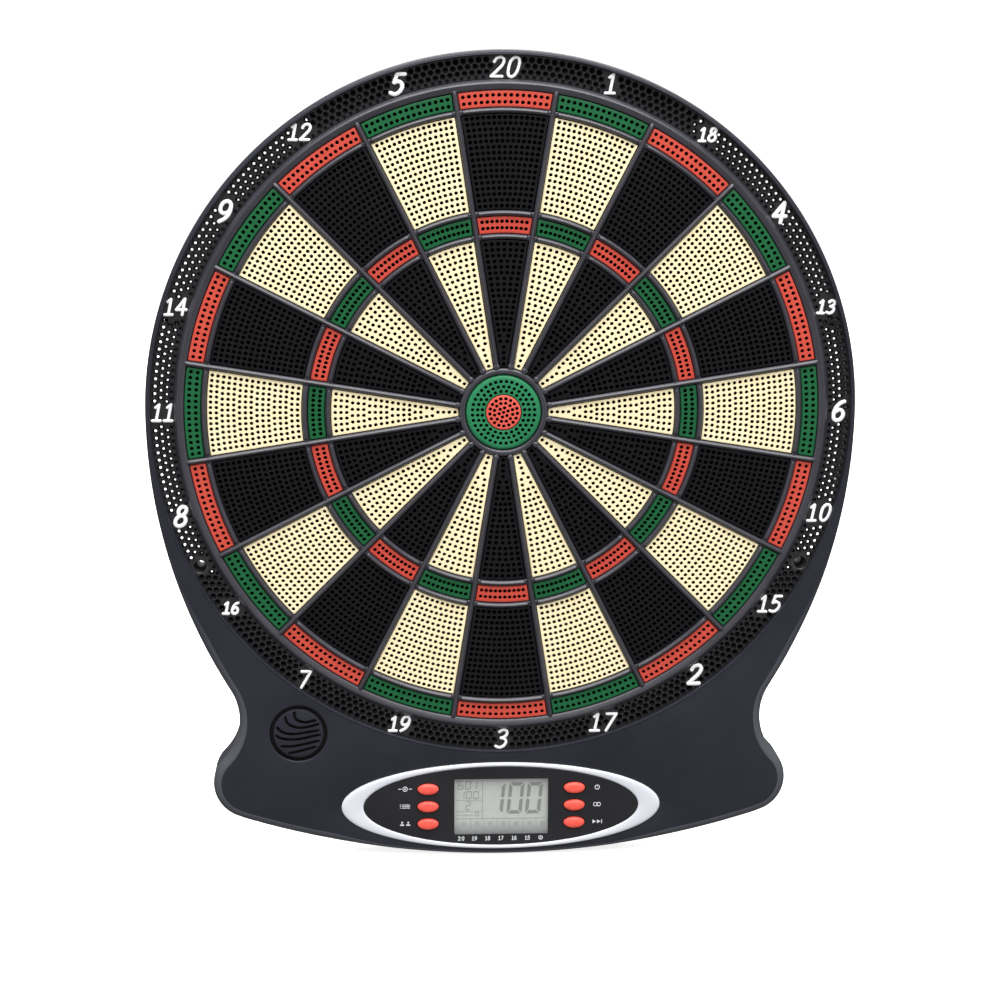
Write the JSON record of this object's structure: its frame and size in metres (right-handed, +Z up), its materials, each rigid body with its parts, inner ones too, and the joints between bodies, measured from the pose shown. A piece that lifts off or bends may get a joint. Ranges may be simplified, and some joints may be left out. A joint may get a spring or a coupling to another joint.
{
  "type": "electronic dartboard",
  "caption": "Wall-hung electronic dartboard with loose scoring segments in a spider, pierced catch ring, raised numbers, and an oval panel with display and buttons.",
  "frame": {"origin": "on the wall plane (the rear face of the rear cover) on the axis of the bull", "axes": "+X to the player's right, +Y from the board into the wall, +Z up"},
  "size_m": [0.3826, 0.027, 0.4398],
  "materials": {
    "housing": "fine satin moulding",
    "spider": "satin",
    "numbers": "satin white",
    "rear_cover": "fine matt texture",
    "screws": "zinc plated",
    "trim": "silver lacquer",
    "panel": "glossy",
    "window": "clear",
    "lcd": "grey reflective display",
    "holder": "plain moulding",
    "contact_strip": "soft",
    "keypad": "translucent silicone",
    "circuit_board": "solder resist",
    "component": "moulded resin",
    "speaker_metal": "plated",
    "speaker_cone": "film",
    "wire": "insulation",
    "cell": "plain sleeve",
    "contact": "nickel plated",
    "backing": "hardboard",
    "mat": "silicone sheet",
    "film": "printed film",
    "score_green": "satin",
    "score_red": "satin",
    "single_black": "satin",
    "single_cream": "satin",
    "buttons": "smooth"
  },
  "bodies": {
    "board": {"front_housing": "housing", "spider_grid": "spider", "number_inserts": "numbers", "rear_cover": "rear_cover", "rear_screws": "screws", "fascia_trim": "trim", "fascia_panel": "panel", "lcd_window": "window", "lcd_glass": "lcd", "lcd_holder": "holder", "lcd_contact_strips": "contact_strip", "keypad_mats": "keypad", "main_board": "circuit_board", "board_components": "component", "board_screws": "screws", "speaker_driver": "speaker_metal", "speaker_cone": "speaker_cone", "speaker_retainer": "rear_cover", "speaker_wires": "wire", "battery_cells": "cell", "battery_contacts": "contact", "battery_wires": "wire", "backing_plate": "backing", "silicone_mat": "mat", "sensor_film": "film"},
    "number_20": {"segments_20": "single_black"},
    "number_01": {"segments_01": "single_cream"},
    "number_18": {"segments_18": "single_black"},
    "number_04": {"segments_04": "single_cream"},
    "number_13": {"segments_13": "single_black"},
    "number_06": {"segments_06": "single_cream"},
    "number_10": {"segments_10": "single_black"},
    "number_15": {"segments_15": "single_cream"},
    "number_02": {"segments_02": "single_black"},
    "number_17": {"segments_17": "single_cream"},
    "number_03": {"segments_03": "single_black"},
    "number_19": {"segments_19": "single_cream"},
    "number_07": {"segments_07": "single_black"},
    "number_16": {"segments_16": "single_cream"},
    "number_08": {"segments_08": "single_black"},
    "number_11": {"segments_11": "single_cream"},
    "number_14": {"segments_14": "single_black"},
    "number_09": {"segments_09": "single_cream"},
    "number_12": {"segments_12": "single_black"},
    "number_05": {"segments_05": "single_cream"},
    "outer_bull_piece": {"outer_bull": "score_green"},
    "inner_bull_piece": {"inner_bull": "score_red"},
    "button_left_top_key": {"button_left_top": "buttons"},
    "button_left_middle_key": {"button_left_middle": "buttons"},
    "button_left_bottom_key": {"button_left_bottom": "buttons"},
    "button_right_top_key": {"button_right_top": "buttons"},
    "button_right_middle_key": {"button_right_middle": "buttons"},
    "button_right_bottom_key": {"button_right_bottom": "buttons"},
    "battery_lid": {"battery_door": "rear_cover"}
  },
  "joints": [
    {"name": "hit_20", "type": "slide", "parent": "board", "child": "number_20", "axis": [0, 1, 0], "range_m": [0, 0.0012], "stiffness_N_per_m": 900, "springref_m": -0.001},
    {"name": "hit_01", "type": "slide", "parent": "board", "child": "number_01", "axis": [0, 1, 0], "range_m": [0, 0.0012], "stiffness_N_per_m": 900, "springref_m": -0.001},
    {"name": "hit_18", "type": "slide", "parent": "board", "child": "number_18", "axis": [0, 1, 0], "range_m": [0, 0.0012], "stiffness_N_per_m": 900, "springref_m": -0.001},
    {"name": "hit_04", "type": "slide", "parent": "board", "child": "number_04", "axis": [0, 1, 0], "range_m": [0, 0.0012], "stiffness_N_per_m": 900, "springref_m": -0.001},
    {"name": "hit_13", "type": "slide", "parent": "board", "child": "number_13", "axis": [0, 1, 0], "range_m": [0, 0.0012], "stiffness_N_per_m": 900, "springref_m": -0.001},
    {"name": "hit_06", "type": "slide", "parent": "board", "child": "number_06", "axis": [0, 1, 0], "range_m": [0, 0.0012], "stiffness_N_per_m": 900, "springref_m": -0.001},
    {"name": "hit_10", "type": "slide", "parent": "board", "child": "number_10", "axis": [0, 1, 0], "range_m": [0, 0.0012], "stiffness_N_per_m": 900, "springref_m": -0.001},
    {"name": "hit_15", "type": "slide", "parent": "board", "child": "number_15", "axis": [0, 1, 0], "range_m": [0, 0.0012], "stiffness_N_per_m": 900, "springref_m": -0.001},
    {"name": "hit_02", "type": "slide", "parent": "board", "child": "number_02", "axis": [0, 1, 0], "range_m": [0, 0.0012], "stiffness_N_per_m": 900, "springref_m": -0.001},
    {"name": "hit_17", "type": "slide", "parent": "board", "child": "number_17", "axis": [0, 1, 0], "range_m": [0, 0.0012], "stiffness_N_per_m": 900, "springref_m": -0.001},
    {"name": "hit_03", "type": "slide", "parent": "board", "child": "number_03", "axis": [0, 1, 0], "range_m": [0, 0.0012], "stiffness_N_per_m": 900, "springref_m": -0.001},
    {"name": "hit_19", "type": "slide", "parent": "board", "child": "number_19", "axis": [0, 1, 0], "range_m": [0, 0.0012], "stiffness_N_per_m": 900, "springref_m": -0.001},
    {"name": "hit_07", "type": "slide", "parent": "board", "child": "number_07", "axis": [0, 1, 0], "range_m": [0, 0.0012], "stiffness_N_per_m": 900, "springref_m": -0.001},
    {"name": "hit_16", "type": "slide", "parent": "board", "child": "number_16", "axis": [0, 1, 0], "range_m": [0, 0.0012], "stiffness_N_per_m": 900, "springref_m": -0.001},
    {"name": "hit_08", "type": "slide", "parent": "board", "child": "number_08", "axis": [0, 1, 0], "range_m": [0, 0.0012], "stiffness_N_per_m": 900, "springref_m": -0.001},
    {"name": "hit_11", "type": "slide", "parent": "board", "child": "number_11", "axis": [0, 1, 0], "range_m": [0, 0.0012], "stiffness_N_per_m": 900, "springref_m": -0.001},
    {"name": "hit_14", "type": "slide", "parent": "board", "child": "number_14", "axis": [0, 1, 0], "range_m": [0, 0.0012], "stiffness_N_per_m": 900, "springref_m": -0.001},
    {"name": "hit_09", "type": "slide", "parent": "board", "child": "number_09", "axis": [0, 1, 0], "range_m": [0, 0.0012], "stiffness_N_per_m": 900, "springref_m": -0.001},
    {"name": "hit_12", "type": "slide", "parent": "board", "child": "number_12", "axis": [0, 1, 0], "range_m": [0, 0.0012], "stiffness_N_per_m": 900, "springref_m": -0.001},
    {"name": "hit_05", "type": "slide", "parent": "board", "child": "number_05", "axis": [0, 1, 0], "range_m": [0, 0.0012], "stiffness_N_per_m": 900, "springref_m": -0.001},
    {"name": "hit_outer_bull", "type": "slide", "parent": "board", "child": "outer_bull_piece", "axis": [0, 1, 0], "range_m": [0, 0.0012], "stiffness_N_per_m": 400, "springref_m": -0.001},
    {"name": "hit_inner_bull", "type": "slide", "parent": "board", "child": "inner_bull_piece", "axis": [0, 1, 0], "range_m": [0, 0.0012], "stiffness_N_per_m": 400, "springref_m": -0.001},
    {"name": "press_left_top", "type": "slide", "parent": "board", "child": "button_left_top_key", "axis": [0, 1, 0], "range_m": [0, 0.001], "stiffness_N_per_m": 300, "springref_m": -0.001},
    {"name": "press_left_middle", "type": "slide", "parent": "board", "child": "button_left_middle_key", "axis": [0, 1, 0], "range_m": [0, 0.001], "stiffness_N_per_m": 300, "springref_m": -0.001},
    {"name": "press_left_bottom", "type": "slide", "parent": "board", "child": "button_left_bottom_key", "axis": [0, 1, 0], "range_m": [0, 0.001], "stiffness_N_per_m": 300, "springref_m": -0.001},
    {"name": "press_right_top", "type": "slide", "parent": "board", "child": "button_right_top_key", "axis": [0, 1, 0], "range_m": [0, 0.001], "stiffness_N_per_m": 300, "springref_m": -0.001},
    {"name": "press_right_middle", "type": "slide", "parent": "board", "child": "button_right_middle_key", "axis": [0, 1, 0], "range_m": [0, 0.001], "stiffness_N_per_m": 300, "springref_m": -0.001},
    {"name": "press_right_bottom", "type": "slide", "parent": "board", "child": "button_right_bottom_key", "axis": [0, 1, 0], "range_m": [0, 0.001], "stiffness_N_per_m": 300, "springref_m": -0.001},
    {"name": "battery_door_hinge", "type": "hinge", "parent": "board", "child": "battery_lid", "pos_m": [0.1146, -0.0012, -0.16535], "axis": [1, 0, 0], "range_deg": [0, 90]}
  ]
}
